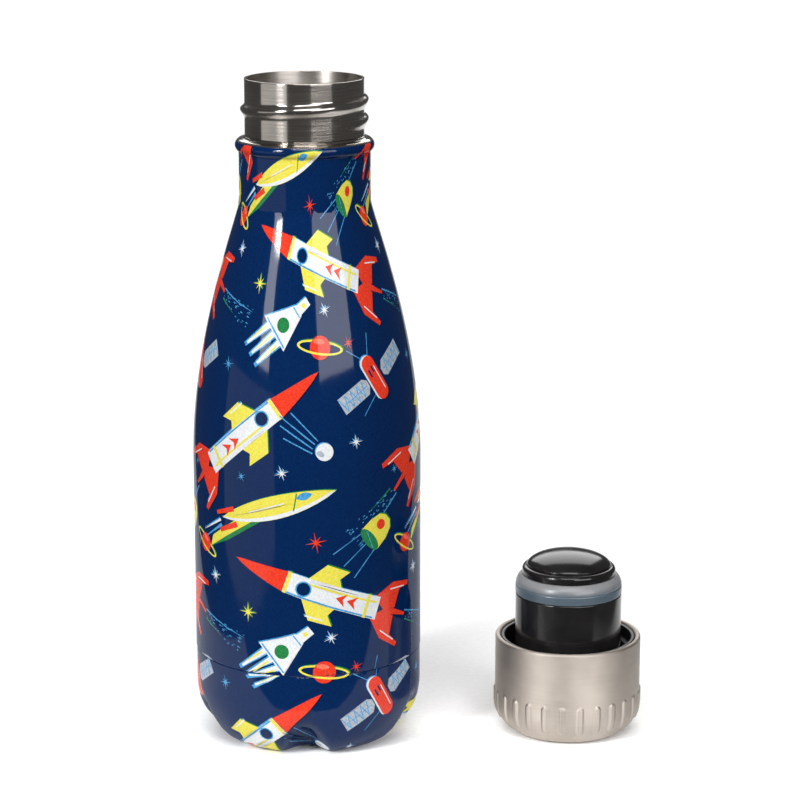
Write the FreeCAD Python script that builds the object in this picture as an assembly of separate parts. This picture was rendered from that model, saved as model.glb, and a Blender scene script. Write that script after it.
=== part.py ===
import FreeCAD, Part
import math
import os

# Children's vacuum bottle with a screw stopper, in millimetres.
# The bottle stands on Z = 0 with its axis on Z. The stopper has been taken off and
# stands upside down beside it, on the same surface.

# Heights and radii of the outer bottle
BOTTLE_H = 189.8          # feet to the top of the steel rim
BARREL_R = 32.5
COLLAR_GAP = 1.7          # painted collar's face to the steel neck inside it
BEAD_PROUD = 1.05         # rolled bead that ends the painted shell
BEAD_DROP = 18.6          # rim down to the bead's widest line
BEAD_ROUND = 2.0
COLLAR_H = 15.7           # bead line down to the top of the shoulder
SHOULDER_H = 73.6
SHOULDER_PULL = 35.4      # how long the shoulder's curve keeps to the barrel
COLLAR_PULL = 3.0         # and to the collar
SHELL_WALL = 0.5

# Welded base with five lobes
BASE_H = 25.9             # feet to the weld seam
SEAM_STEP = 0.15          # the base is this much smaller in radius than the barrel
CORNER_W = 11.0           # the base's rounded corner, across
CORNER_H = 16.0           # and up
FOOT_W = 1.6              # width of the flat ring that it stands on
RECESS_R = 11.0           # flat middle of the hollow under the base
RECESS_H = 5.0
LOBES = 5
VALLEY_R = 6.0            # radius of the round valleys between the lobes
VALLEY_SLOPE = 42.0       # degrees that a valley's floor climbs outwards
VALLEY_FLOOR_H = 2.9      # height of that floor over the foot ring
FRONT = -90.0             # one valley faces the front

# Inner flask
VACUUM_GAP = 4.0          # between the barrel and the flask
FLASK_WALL = 0.5
FLASK_FLOOR_H = 14.0      # feet to the underside of the flask
FLASK_CORNER = 8.0
FLASK_SEAM_H = 1.0        # straight wall over that corner, up to the flask's weld
FLASK_SHOULDER_H = 72.0
NECK_BORE_R = 16.25
THROAT_STEP = 2.05        # the bore narrows by this much below the seal's seat
THROAT_H = 4.3
SEAT_FLARE = 0.45         # how much the seat opens for each millimetre up
RIM_ROUND = 0.2

# Rolled thread on the neck
PITCH = 5.3
RIDGE_H = 1.2
RIDGE_W = 3.4
RIDGE_CREST_W = 1.3
THREAD_DROP = 12.1        # rim down to the ridge where it starts
THREAD_START = -60.0      # degrees round from +X
THREAD_TURNS = 1.4

# Parts in the vacuum
FOIL_T = 0.15
FOIL_GAP = 0.05
FOIL_MARGIN = 3.0
GETTER_X = 12.0
GETTER_R = 4.6
GETTER_T = 1.9
CLIP_T = 0.4
PORT_R = 0.75             # hole that the air is drawn out through
SEAL_BEAD_R = 2.5
SEAL_BEAD_T = 1.2
COVER_R = 9.0
COVER_DEPTH = 1.9
COVER_LIP = 1.6
COVER_T = 0.5

# Stopper
HEAD_H = 12.0             # rim up to the top of the closed stopper
CUP_H = 28.3
CUP_WALL = 0.5
CUP_CORNER_W = 7.05
CUP_CORNER_H = 9.0
HEM_R = 0.75              # rolled edge of the steel cup
RIBS = 26
RIB_W = 2.3
RIB_PROUD = 0.4
RIB_LOW = 3.9             # from the cup's flat end
RIB_HIGH = 12.6
LINER_WALL = 2.15
LINER_DISC = 1.5
HEM_CLEAR = 0.2
GLUE_GAP = 0.1
RIM_CLEAR = 1.2           # rim to the bottom of the liner's well
THREAD_CLEAR = 0.35
LINER_TURNS = 1.0
LINER_RIDGE_W = 2.0
LINER_RIDGE_CREST_W = 0.9
LINER_THREAD_START = 100.0
RIDGE_ROOT = 0.3          # how far a ridge is rooted in its wall

# Plug
PLUG_CLEAR = 0.9          # plug to the neck's bore
PLUG_WALL = 1.5
PLUG_RUN = 0.1            # the plug turns freely in the liner
PLUG_LENGTH = 29.0        # rim down to the seal
PLUG_TOP_GAP = 1.8        # tube's end to the cup's flat end
PLUG_FLANGE_W = 1.8
PLUG_FLANGE_T = 1.5
SEAL_H = 5.5
SEAL_BAND_H = 2.6
SEAL_PROUD = 0.05
SEAL_SEAT_CLEAR = 0.05
SEAT_DROP = 0.95          # the seat meets the seal's round nose this far under its band
SEAL_NOSE_STEP = 1.6      # each of these steps is inwards from the seal or the plug
END_FLANGE_STEP = 1.85
END_FLANGE_H = 2.5
DOME_STEP = 3.65
DOME_H = 4.1
DOME_WALL = 1.4
STEM_STEP = 2.95
SPIGOT_H = 4.0
SPIGOT_FIT = 0.1
CORE_WALL = 5.35
CORE_FIT = 0.1
DISC_PLAY = 0.5
DISC_T = 1.5
DISC_GAP = 0.1
DISC_FROM_TOP = 49.5      # from the cup's flat end to the far face of the last disc
FOAM_RING_GAP = 0.5
FOAM_RING_INSET = 2.65
FOAM_RING_H = 4.4

# Where the stopper stands
CAP_X = 75.4

# Levels and radii that follow from these
QUARTER = 0.5523          # handle length that makes a quarter ellipse
BEAD_Z = BOTTLE_H - BEAD_DROP
SHOULDER_TOP = BEAD_Z - COLLAR_H
SHOULDER_BOTTOM = SHOULDER_TOP - SHOULDER_H
BASE_R = BARREL_R - SEAM_STEP
FOOT_R = BASE_R - CORNER_W
NECK_R = NECK_BORE_R + FLASK_WALL
COLLAR_R = NECK_R + COLLAR_GAP
BEAD_R = COLLAR_R + BEAD_PROUD
THROAT_R = NECK_BORE_R - THROAT_STEP
FLASK_SEAM_Z = FLASK_FLOOR_H + FLASK_CORNER + FLASK_SEAM_H
FLASK_R = BARREL_R - SHELL_WALL - VACUUM_GAP
PLUG_R = NECK_BORE_R - PLUG_CLEAR
SEAL_R = PLUG_R + SEAL_PROUD
SEAL_TOP = BOTTLE_H - PLUG_LENGTH
SEAL_EDGE = SEAL_TOP - SEAL_BAND_H
SEAL_BOTTOM = SEAL_TOP - SEAL_H
SEAT_EDGE_R = SEAL_R + SEAL_SEAT_CLEAR
SEAT_Z = SEAL_EDGE - SEAT_DROP
SEAT_TOP = SEAT_Z + (NECK_BORE_R - SEAT_EDGE_R) / SEAT_FLARE
SEAT_BOTTOM = SEAT_Z - (SEAT_EDGE_R - THROAT_R) / SEAT_FLARE
THROAT_BOTTOM = SEAT_BOTTOM - THROAT_H
FLASK_SHOULDER = THROAT_BOTTOM - FLASK_SHOULDER_H
THREAD_Z = BOTTLE_H - THREAD_DROP
CREST_R = NECK_R + RIDGE_H
LINER_BORE_R = CREST_R + THREAD_CLEAR
LINER_R = LINER_BORE_R + LINER_WALL
CUP_R = LINER_R + GLUE_GAP + CUP_WALL
CUP_TOP = BOTTLE_H + HEAD_H
CUP_EDGE = CUP_TOP - CUP_H
WELL_Z = BOTTLE_H + RIM_CLEAR
LINER_TOP = WELL_Z + LINER_DISC
LINER_EDGE = CUP_EDGE + 2 * HEM_R + HEM_CLEAR
FLANGE_Z = LINER_TOP + PLUG_RUN
PLUG_END_Z = SEAL_BOTTOM - END_FLANGE_H
TUBE_BORE_R = PLUG_R - PLUG_WALL
SEAL_NOSE_R = SEAL_R - SEAL_NOSE_STEP
END_FLANGE_R = PLUG_R - END_FLANGE_STEP
DOME_R = PLUG_R - DOME_STEP
STEM_R = PLUG_R - STEM_STEP
CORE_BORE_R = TUBE_BORE_R - CORE_WALL
DISC_R = CORE_BORE_R - DISC_PLAY
FOAM_RING_R = CUP_R - FOAM_RING_INSET


class Outline:
    """Half section of a turned piece: points are (distance from the axis, height)."""

    def __init__(self, r, z):
        self.first = FreeCAD.Vector(r, 0, z)
        self.here = self.first
        self.edges = []

    def line(self, r, z):
        there = FreeCAD.Vector(r, 0, z)
        if there.distanceToPoint(self.here) > 1e-6:
            self.edges.append(Part.LineSegment(self.here, there).toShape())
        self.here = there
        return self

    def arc(self, through_r, through_z, r, z):
        there = FreeCAD.Vector(r, 0, z)
        through = FreeCAD.Vector(through_r, 0, through_z)
        self.edges.append(Part.Arc(self.here, through, there).toShape())
        self.here = there
        return self

    def curve(self, r1, z1, r2, z2, r, z):
        there = FreeCAD.Vector(r, 0, z)
        bow = Part.BezierCurve()
        bow.setPoles([self.here, FreeCAD.Vector(r1, 0, z1), FreeCAD.Vector(r2, 0, z2), there])
        self.edges.append(bow.toShape())
        self.here = there
        return self

    def corner_out(self, r, z):
        """Quarter ellipse that leaves sideways and arrives upright."""
        reach, rise = r - self.here.x, z - self.here.z
        return self.curve(self.here.x + QUARTER * reach, self.here.z, r, z - QUARTER * rise, r, z)

    def corner_in(self, r, z):
        """Quarter ellipse that leaves upright and arrives sideways."""
        reach, rise = r - self.here.x, z - self.here.z
        return self.curve(self.here.x, self.here.z + QUARTER * rise, r - QUARTER * reach, z, r, z)

    def turned(self):
        self.line(self.first.x, self.first.z)
        face = Part.Face(Part.Wire(self.edges))
        return face.revolve(FreeCAD.Vector(0, 0, 0), FreeCAD.Vector(0, 0, 1), 360)


def tube(inner, outer, low, high):
    """Plain ring or tube on the axis."""
    outline = Outline(inner, low)
    outline.line(outer, low)
    outline.line(outer, high)
    outline.line(inner, high)
    return outline.turned()


def disc(radius, low, high):
    return Part.makeCylinder(radius, high - low, FreeCAD.Vector(0, 0, low))


def helical_ridge(root_r, crest_r, root_w, crest_w, z_start, start_angle, turns):
    """Right-handed thread ridge of trapezium section, swept along its helix."""
    path = Part.makeHelix(PITCH, PITCH * turns, root_r)
    corners = [
        FreeCAD.Vector(root_r, 0, -root_w / 2),
        FreeCAD.Vector(crest_r, 0, -crest_w / 2),
        FreeCAD.Vector(crest_r, 0, crest_w / 2),
        FreeCAD.Vector(root_r, 0, root_w / 2),
    ]
    section = Part.makePolygon(corners + corners[:1])
    ridge = Part.Wire(path.Edges).makePipeShell([section], True, True)
    ridge.translate(FreeCAD.Vector(0, 0, z_start))
    ridge.rotate(FreeCAD.Vector(0, 0, 0), FreeCAD.Vector(0, 0, 1), start_angle)
    return ridge


# ---- outer bottle ----

def shell_form(inset):
    """Solid of the shell's outer face, or of its inner face when inset by the wall."""
    round_r = BEAD_ROUND - inset
    middle_r = BEAD_R - BEAD_ROUND
    collar = COLLAR_R - inset
    barrel = BARREL_R - inset
    bead_low = BEAD_Z - math.sqrt(round_r ** 2 - (collar - middle_r) ** 2)
    outline = Outline(0, BASE_H)
    outline.line(barrel, BASE_H)
    outline.line(barrel, SHOULDER_BOTTOM)
    outline.curve(barrel, SHOULDER_BOTTOM + SHOULDER_PULL, collar, SHOULDER_TOP - COLLAR_PULL,
                  collar, SHOULDER_TOP)
    outline.line(collar, bead_low)
    outline.arc(middle_r + round_r, BEAD_Z, middle_r, BEAD_Z + round_r)
    outline.line(NECK_R, BEAD_Z + round_r + middle_r - NECK_R)
    outline.line(0, BEAD_Z + round_r + middle_r - NECK_R)
    return outline.turned()


def outer_shell():
    hollow = shell_form(SHELL_WALL)
    return shell_form(0).cut(hollow).cut(disc(NECK_R, BEAD_Z, BOTTLE_H))


def valley(number, inset):
    """Round bar, climbing outwards, that presses one valley between two lobes."""
    radius = VALLEY_R + inset
    slope = math.radians(VALLEY_SLOPE)
    along = FreeCAD.Vector(math.cos(slope), 0, math.sin(slope))
    foot = FreeCAD.Vector(FOOT_R, 0, VALLEY_FLOOR_H)
    centre = foot + FreeCAD.Vector(math.sin(slope), 0, -math.cos(slope)) * VALLEY_R
    reach = BARREL_R
    bar = Part.makeCylinder(radius, 2 * reach, centre - along * reach / 2, along)
    bar.rotate(FreeCAD.Vector(0, 0, 0), FreeCAD.Vector(0, 0, 1), FRONT + number * 360 / LOBES)
    return bar


def base_form(inset):
    """Solid of the base's outer face, or of its inner face when inset by the wall."""
    side = BASE_R - inset
    foot_in = FOOT_R - FOOT_W
    bend = (foot_in - RECESS_R) / 2
    outline = Outline(0, RECESS_H + inset)
    outline.line(RECESS_R, RECESS_H + inset)
    outline.curve(RECESS_R + bend, RECESS_H + inset, foot_in - bend, inset, foot_in, inset)
    outline.line(FOOT_R, inset)
    outline.corner_out(side, CORNER_H)
    outline.line(side, BASE_H)
    outline.line(0, BASE_H)
    form = outline.turned()
    for number in range(LOBES):
        form = form.cut(valley(number, inset))
    return form


def base_cup():
    port = disc(PORT_R, 0, BASE_H)
    return base_form(0).cut(base_form(SHELL_WALL)).cut(port)


# ---- inner flask ----

def flask_form(inset):
    barrel = FLASK_R - inset
    throat = THROAT_R + FLASK_WALL - inset
    neck = NECK_R - inset
    outline = Outline(0, FLASK_SEAM_Z)
    outline.line(barrel, FLASK_SEAM_Z)
    outline.line(barrel, FLASK_SHOULDER)
    outline.curve(barrel, FLASK_SHOULDER + FLASK_SHOULDER_H / 2,
                  throat, THROAT_BOTTOM - FLASK_SHOULDER_H / 8, throat, THROAT_BOTTOM)
    outline.line(throat, SEAT_BOTTOM)
    outline.line(neck, SEAT_TOP)
    outline.line(neck, BOTTLE_H)
    outline.line(0, BOTTLE_H)
    return outline.turned()


def inner_flask():
    wall = flask_form(0).cut(flask_form(FLASK_WALL))
    rim = [e for e in wall.Edges if e.BoundBox.ZMin > BOTTLE_H - 1e-3 and e.Length > NECK_R]
    wall = wall.makeFillet(RIM_ROUND, rim)
    ridge = helical_ridge(NECK_R - RIDGE_ROOT, CREST_R, RIDGE_W, RIDGE_CREST_W,
                          THREAD_Z, THREAD_START, THREAD_TURNS)
    return wall.fuse(ridge)


def dish_form(inset):
    side = FLASK_R - inset
    outline = Outline(0, FLASK_FLOOR_H + inset)
    outline.line(FLASK_R - FLASK_CORNER, FLASK_FLOOR_H + inset)
    outline.corner_out(side, FLASK_FLOOR_H + FLASK_CORNER)
    outline.line(side, FLASK_SEAM_Z)
    outline.line(0, FLASK_SEAM_Z)
    return outline.turned()


def flask_bottom():
    return dish_form(0).cut(dish_form(FLASK_WALL))


# ---- sealed in the vacuum, and its closing ----

def heat_foil():
    inner = FLASK_R + FOIL_GAP
    return tube(inner, inner + FOIL_T, BASE_H + FOIL_MARGIN, FLASK_SHOULDER - FOIL_MARGIN)


def getter_clip():
    roof = disc(GETTER_R + 2 * CLIP_T, FLASK_FLOOR_H - CLIP_T, FLASK_FLOOR_H)
    wall = tube(GETTER_R + CLIP_T, GETTER_R + 2 * CLIP_T, FLASK_FLOOR_H - GETTER_T, FLASK_FLOOR_H)
    clip = roof.fuse(wall)
    clip.translate(FreeCAD.Vector(GETTER_X, 0, 0))
    return clip


def getter_pill():
    pill = disc(GETTER_R, FLASK_FLOOR_H - CLIP_T - GETTER_T, FLASK_FLOOR_H - CLIP_T)
    pill.translate(FreeCAD.Vector(GETTER_X, 0, 0))
    return pill


def vacuum_seal():
    """Glass bead melted over the port, with the stem that fills it."""
    outline = Outline(0, RECESS_H - SEAL_BEAD_T)
    outline.corner_out(SEAL_BEAD_R, RECESS_H)
    outline.line(PORT_R, RECESS_H)
    outline.line(PORT_R, RECESS_H + SHELL_WALL)
    outline.line(0, RECESS_H + SHELL_WALL)
    return outline.turned()


def cover_form(inset):
    low = RECESS_H - COVER_DEPTH + inset
    outline = Outline(0, low)
    outline.line(COVER_R - COVER_LIP - 1 - inset, low)
    outline.corner_out(COVER_R - COVER_LIP - inset, low + 1)
    outline.line(COVER_R - COVER_LIP - inset, RECESS_H)
    outline.line(0, RECESS_H)
    return outline.turned()


def seal_cover():
    """Pressed disc glued in the hollow of the base over the glass bead."""
    lip = disc(COVER_R, RECESS_H - COVER_T, RECESS_H)
    return cover_form(0).fuse(lip).cut(cover_form(COVER_T))


# ---- stopper, drawn closed on the neck and then stood beside the bottle ----

def stood_beside(shape):
    middle = FreeCAD.Vector(CAP_X / 2, 0, CUP_TOP / 2)
    shape.rotate(middle, FreeCAD.Vector(0, 1, 0), 180)
    return shape


def cup_form(inset, edge):
    side = CUP_R - inset
    outline = Outline(0, edge)
    outline.line(side, edge)
    outline.line(side, CUP_TOP - CUP_CORNER_H)
    outline.corner_in(CUP_R - CUP_CORNER_W, CUP_TOP - inset)
    outline.line(0, CUP_TOP - inset)
    return outline.turned()


def rib_blank():
    """Stadium-shaped bar that points out along +X."""
    half = RIB_W / 2
    low = CUP_TOP - RIB_HIGH + half
    high = CUP_TOP - RIB_LOW - half
    bar = Part.makeBox(CUP_R, RIB_W, high - low, FreeCAD.Vector(CUP_R / 2, -half, low))
    outward = FreeCAD.Vector(1, 0, 0)
    for level in (low, high):
        end = Part.makeCylinder(half, CUP_R, FreeCAD.Vector(CUP_R / 2, 0, level), outward)
        bar = bar.fuse(end)
    return bar


def cap_shell():
    skin = cup_form(-RIB_PROUD, CUP_EDGE + HEM_R).cut(cup_form(CUP_WALL / 2, CUP_EDGE + HEM_R))
    blank = rib_blank()
    blanks = []
    for number in range(RIBS):
        bar = blank.copy()
        bar.rotate(FreeCAD.Vector(0, 0, 0), FreeCAD.Vector(0, 0, 1), number * 360 / RIBS)
        blanks.append(bar)
    ribs = skin.common(Part.makeCompound(blanks))
    hem = Part.makeTorus(CUP_R - HEM_R, HEM_R, FreeCAD.Vector(0, 0, CUP_EDGE + HEM_R))
    cup = cup_form(0, CUP_EDGE + HEM_R).fuse(ribs).fuse(hem)
    mouth = disc(CUP_R - 2 * HEM_R, CUP_EDGE, BOTTLE_H)
    return cup.cut(cup_form(CUP_WALL, CUP_EDGE + 2 * HEM_R)).cut(mouth)


def cap_liner():
    skirt = tube(LINER_BORE_R, LINER_R, LINER_EDGE, LINER_TOP)
    lip = tube(LINER_BORE_R, CUP_R - 2 * HEM_R - HEM_CLEAR, CUP_EDGE + HEM_CLEAR, LINER_EDGE)
    floor = tube(PLUG_R + PLUG_RUN, LINER_R, WELL_Z, LINER_TOP)
    start_turns = (LINER_THREAD_START - THREAD_START) / 360
    ridge_z = THREAD_Z + PITCH * start_turns - PITCH / 2
    ridge = helical_ridge(LINER_BORE_R + RIDGE_ROOT, NECK_R + THREAD_CLEAR,
                          LINER_RIDGE_W, LINER_RIDGE_CREST_W,
                          ridge_z, LINER_THREAD_START, LINER_TURNS)
    return skirt.fuse(lip).fuse(floor).fuse(ridge)


def top_foam():
    low = FLANGE_Z + PLUG_FLANGE_T + FOAM_RING_GAP
    return tube(PLUG_R + FOAM_RING_GAP, FOAM_RING_R, low, low + FOAM_RING_H)


def plug_tube():
    wall = tube(TUBE_BORE_R, PLUG_R, SEAL_TOP, CUP_TOP - PLUG_TOP_GAP)
    flange = tube(TUBE_BORE_R, PLUG_R + PLUG_FLANGE_W, FLANGE_Z, FLANGE_Z + PLUG_FLANGE_T)
    return wall.fuse(flange)


def seal_ring():
    nose_bow = SEAL_EDGE - SEAL_BOTTOM
    outline = Outline(STEM_R, SEAL_BOTTOM)
    outline.line(SEAL_NOSE_R, SEAL_BOTTOM)
    outline.curve(SEAL_NOSE_R + nose_bow / 3, SEAL_BOTTOM + nose_bow / 4,
                  SEAL_R - 2 * SEAL_PROUD, SEAL_EDGE - nose_bow / 3, SEAL_R - SEAL_PROUD, SEAL_EDGE)
    outline.line(SEAL_R, SEAL_EDGE)
    outline.line(SEAL_R, SEAL_TOP)
    outline.line(STEM_R, SEAL_TOP)
    return outline.turned()


def plug_end():
    """Domed end with the flange and stem that hold the seal, welded into the tube."""
    dome_ball = (DOME_R ** 2 + DOME_H ** 2) / (2 * DOME_H)
    half_r = DOME_R * 0.6
    tip = PLUG_END_Z - DOME_H
    half_z = tip + dome_ball - math.sqrt(dome_ball ** 2 - half_r ** 2)
    outline = Outline(0, tip)
    outline.arc(half_r, half_z, DOME_R, PLUG_END_Z)
    outline.corner_out(END_FLANGE_R, PLUG_END_Z + END_FLANGE_R - DOME_R)
    outline.line(END_FLANGE_R, SEAL_BOTTOM)
    outline.line(STEM_R, SEAL_BOTTOM)
    outline.line(STEM_R, SEAL_TOP)
    outline.line(TUBE_BORE_R - SPIGOT_FIT, SEAL_TOP)
    outline.line(TUBE_BORE_R - SPIGOT_FIT, SEAL_TOP + SPIGOT_H)
    outline.line(0, SEAL_TOP + SPIGOT_H)
    solid = outline.turned()
    inner_ball = dome_ball - DOME_WALL
    bowl = Part.makeSphere(inner_ball, FreeCAD.Vector(0, 0, tip + dome_ball))
    hollow = disc(DOME_R - DOME_WALL, tip, SEAL_TOP + SPIGOT_H)
    floor = Part.makeBox(4 * DOME_R, 4 * DOME_R, SPIGOT_H + SEAL_TOP - tip - DOME_WALL,
                         FreeCAD.Vector(-2 * DOME_R, -2 * DOME_R, tip + DOME_WALL))
    return solid.cut(hollow.common(bowl.common(floor)))


def foam_core():
    low = SEAL_TOP + SPIGOT_H + CORE_FIT
    return tube(CORE_BORE_R, TUBE_BORE_R - CORE_FIT, low, CUP_TOP - PLUG_TOP_GAP)


def foam_disc(number):
    """Loose disc in the plug's hollow; number 0 lies next to the dome."""
    low = CUP_TOP - DISC_FROM_TOP + number * (DISC_T + DISC_GAP)
    return disc(DISC_R, low, low + DISC_T)


def foam_disc_screw():
    return foam_disc(0)


def foam_disc_swing():
    return foam_disc(1)


BOTTLE_PIECES = (outer_shell, base_cup, inner_flask, flask_bottom, heat_foil, getter_clip,
                 getter_pill, vacuum_seal, seal_cover)
STOPPER_PIECES = (cap_shell, cap_liner, top_foam, plug_tube, seal_ring, plug_end, foam_core,
                  foam_disc_screw, foam_disc_swing)

os.makedirs("parts", exist_ok=True)
for piece in BOTTLE_PIECES:
    piece().exportStep("parts/" + piece.__name__ + ".step")
for piece in STOPPER_PIECES:
    stood_beside(piece()).exportStep("parts/" + piece.__name__ + ".step")
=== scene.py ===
import math

import bpy
import numpy as np
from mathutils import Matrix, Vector
from mathutils.geometry import delaunay_2d_cdt


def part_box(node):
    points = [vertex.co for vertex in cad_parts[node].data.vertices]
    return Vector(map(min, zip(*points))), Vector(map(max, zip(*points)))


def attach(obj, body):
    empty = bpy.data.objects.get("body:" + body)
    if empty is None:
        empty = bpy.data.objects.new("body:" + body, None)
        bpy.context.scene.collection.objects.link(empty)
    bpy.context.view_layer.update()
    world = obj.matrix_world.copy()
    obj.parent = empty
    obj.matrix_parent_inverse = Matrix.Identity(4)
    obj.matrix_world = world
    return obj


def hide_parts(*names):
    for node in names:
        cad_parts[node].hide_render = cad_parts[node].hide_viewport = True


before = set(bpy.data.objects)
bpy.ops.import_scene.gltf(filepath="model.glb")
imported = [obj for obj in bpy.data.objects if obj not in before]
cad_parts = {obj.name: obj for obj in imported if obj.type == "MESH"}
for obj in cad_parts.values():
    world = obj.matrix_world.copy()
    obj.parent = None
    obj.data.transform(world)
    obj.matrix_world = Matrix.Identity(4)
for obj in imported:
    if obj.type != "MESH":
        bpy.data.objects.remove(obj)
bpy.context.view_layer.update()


# ---- Outer shell -------------------------------------------------------------------------
# A steel tube of 0.5 mm wall, drawn in to a shoulder and a narrow collar, with a bead rolled
# at its top that is welded to the flask's neck. It is sprayed navy, wrapped in a printed
# film that shrinks onto it, and lacquered clear. The bead's upper side is left bare.

SHELL_R = round(1000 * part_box("outer_shell")[1].x, 2)
SEAM_Z = round(1000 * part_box("outer_shell")[0].z, 2)
COLLAR_R = 18.45
BEAD_R = 19.5
BEAD_ROUND = 2.0
RIM_Z = round(1000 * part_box("inner_flask")[1].z, 2)
BEAD_Z = RIM_Z - 18.6
COLLAR_Z = BEAD_Z - 15.7          # the shoulder ends and the collar starts
SHOULDER_Z = COLLAR_Z - 73.6      # the barrel ends and the shoulder starts
NECK_R = 16.75
SHELL_WALL = 0.5
EDGE_ROUND = 0.3                  # the trimmed edge at the weld seam
PAINT_EDGE = BEAD_Z + 1.2
PRINT_COLUMNS = 144               # facets round the shell
FILM_WIDTH = 2 * math.pi * 32.5   # the film's width before it shrinks, round the barrel


def bezier(p0, p1, p2, p3, steps):
    """Cubic curve: each point is the four poles weighted by the cubic Bernstein terms."""
    t = np.linspace(0, 1, steps)[:, None]
    poles = [np.array(p, float) for p in (p0, p1, p2, p3)]
    weights = ((1 - t) ** 3, 3 * (1 - t) ** 2 * t, 3 * (1 - t) * t ** 2, t ** 3)
    return sum(w * p for w, p in zip(weights, poles))


def shell_radius(z, inset=0.0):
    """Radius at height z: a cylinder, a cubic shoulder, a collar, then a circular bead
    that falls away to the neck."""
    bow = bezier((SHELL_R, SHOULDER_Z), (SHELL_R, SHOULDER_Z + 35.4),
                 (COLLAR_R, COLLAR_Z - 3.0), (COLLAR_R, COLLAR_Z), 600)
    r = np.interp(z, bow[:, 1], bow[:, 0]) - inset
    middle, ball = BEAD_R - BEAD_ROUND, BEAD_ROUND - inset
    bead = middle + np.sqrt(np.maximum(ball ** 2 - (z - BEAD_Z) ** 2, 0))
    cone = middle - (z - BEAD_Z - ball)
    soft = 0.5                    # radius of the fillet under the bead
    blend = np.maximum(soft - np.abs(r - bead), 0) / soft
    r = np.where(z > BEAD_Z - 4, np.maximum(r, bead) + blend ** 2 * soft / 4, r)
    r = np.where(z > BEAD_Z, bead, r)
    r = np.where(z > BEAD_Z + ball, np.maximum(cone, NECK_R), r)
    lip = np.clip(1 - (z - SEAM_Z) / EDGE_ROUND, 0, 0.999)
    return r - EDGE_ROUND * (1 - np.sqrt(1 - lip ** 2)) * (inset == 0)


def around(angle, r, z):
    """Point at an angle from the front (-Y), counted towards +X."""
    return np.stack([r * np.sin(angle), -r * np.cos(angle), z + 0 * angle], -1)


def shell_skin(u, v):
    """The printed face: u is the distance round the unshrunk film, v the height."""
    return around(2 * math.pi * u / FILM_WIDTH, shell_radius(v), v)


# The film's own drawing, in millimetres of film, as (ink, outline) in painter's order.

def ring_of(radius_x, radius_y, count, start=0.0, stop=2 * math.pi):
    """Points of an ellipse from one angle to another."""
    t = np.linspace(start, stop, count, endpoint=stop - start < 6)
    return np.stack([radius_x * np.cos(t), radius_y * np.sin(t)], -1)


def stroke(x0, y0, x1, y1, width, end_width=None):
    """Straight band between two points, as wide as said at each end."""
    a, b = np.array([x0, y0], float), np.array([x1, y1], float)
    side = np.array([a[1] - b[1], b[0] - a[0]]) / np.linalg.norm(b - a) / 2
    tip = width if end_width is None else end_width
    return np.array([a - side * width, b - side * tip, b + side * tip, a + side * width])


def lens(x0, x1, half, count=9, bulge=1.0):
    """Spindle between two points of the x axis; its half width follows a sine to a power."""
    t = np.linspace(0, 1, count)
    rise = half * np.sin(math.pi * t) ** bulge
    x = x0 + (x1 - x0) * t
    return np.concatenate([np.stack([x, rise], -1), np.stack([x, -rise], -1)[-2:0:-1]])


def rocket():
    """Rocket with its nose towards +u: two wings, two fins, a hull and a cone that tapers by a
    power of the way along it."""
    wing = np.array([(6.5, 2.6), (2.4, 8.4), (-4.6, 8.1), (-2.4, 5.4), (-4, 2.6)])
    fin = np.array([(-15, 3), (-20.5, 8.2), (-27.5, 9.6), (-28, 8.4), (-24, 6.6), (-23.6, 1.2), (-19, 0)])
    t = np.linspace(0, 1, 8)
    nose = np.stack([12 + 16 * t, 3.1 * (1 - t) ** 0.75], -1)
    nose = np.concatenate([nose, nose[-2::-1] * (1, -1)])
    hull = np.array([(-17, 3.3), (12, 3.1), (12, -3.1), (-17, -3.3)])
    return [
        ("yellow", wing), ("yellow", wing * (1, -1)), ("white", stroke(3.6, 7.4, -1.6, 7.2, 0.4)),
        ("red", stroke(-19, 0, -29, 0, 2.4, 0.8)),
        ("red", fin), ("red", fin * (1, -1)),
        ("white", hull), ("red", nose),
        ("sky", stroke(-16, 2.9, 11, 2.8, 0.5)),
        ("yellow", stroke(-16, -1.6, 6, -1.5, 0.6)),
        ("yellow", stroke(-13, -3.4, -13, 3.4, 1.0)),
        ("yellow", stroke(11.4, -3.2, 11.4, 3.2, 1.0)),
        ("white", stroke(-26, 7.8, -20, 6.0, 0.35)), ("white", stroke(-26, -7.8, -20, -6.0, 0.35)),
        ("sky", ring_of(2.3, 2.3, 16) + (6.5, 0.3)), ("navy", ring_of(1.9, 1.9, 16) + (6.5, 0.3)),
        ("red", np.array([(-9.6, 1.9), (-6.4, 0), (-9.6, -1.9), (-8.6, 0)])),
        ("red", np.array([(-6.2, 1.9), (-3.0, 0), (-6.2, -1.9), (-5.2, 0)])),
    ]


def jet():
    """Slim jet with its nose towards +u: one spindle laid over another, and a wing below."""
    hull = lens(-14, 22, 3.3, 13, 0.8)
    belly = np.concatenate([hull[:13] * (1, -1.0), [(-14, 0)]])
    return [
        ("sky", stroke(-15, -2.0, -26, -5.4, 0.9, 0.1)), ("white", stroke(-15, -0.6, -24, -2.6, 0.7, 0.1)),
        ("yellow", np.array([(-2, -2), (-22, -7.6), (-20, -4.6), (-8, -1)])),
        ("green", np.array([(-2, -2), (-22, -7.6), (-14, -6.6), (-1, -3)])),
        ("yellow", hull), ("white", belly[belly[:, 1] <= 0.01] * (1, 0.98)),
        ("yellow", lens(-13, 20, 2.1, 11, 0.8)),
        ("green", stroke(9, -2.2, 11.2, 2.4, 0.35)), ("sky", lens(10.5, 15.5, 1.1, 7) + (0, 1.1)),
        ("red", stroke(-9, -2.6, -16, -3.4, 1.7, 1.3)), ("red", stroke(-9, 1.8, -16, 1.6, 1.5, 1.1)),
        ("white", stroke(-4, 0.2, 7, 0.6, 0.3)),
    ]


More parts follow.
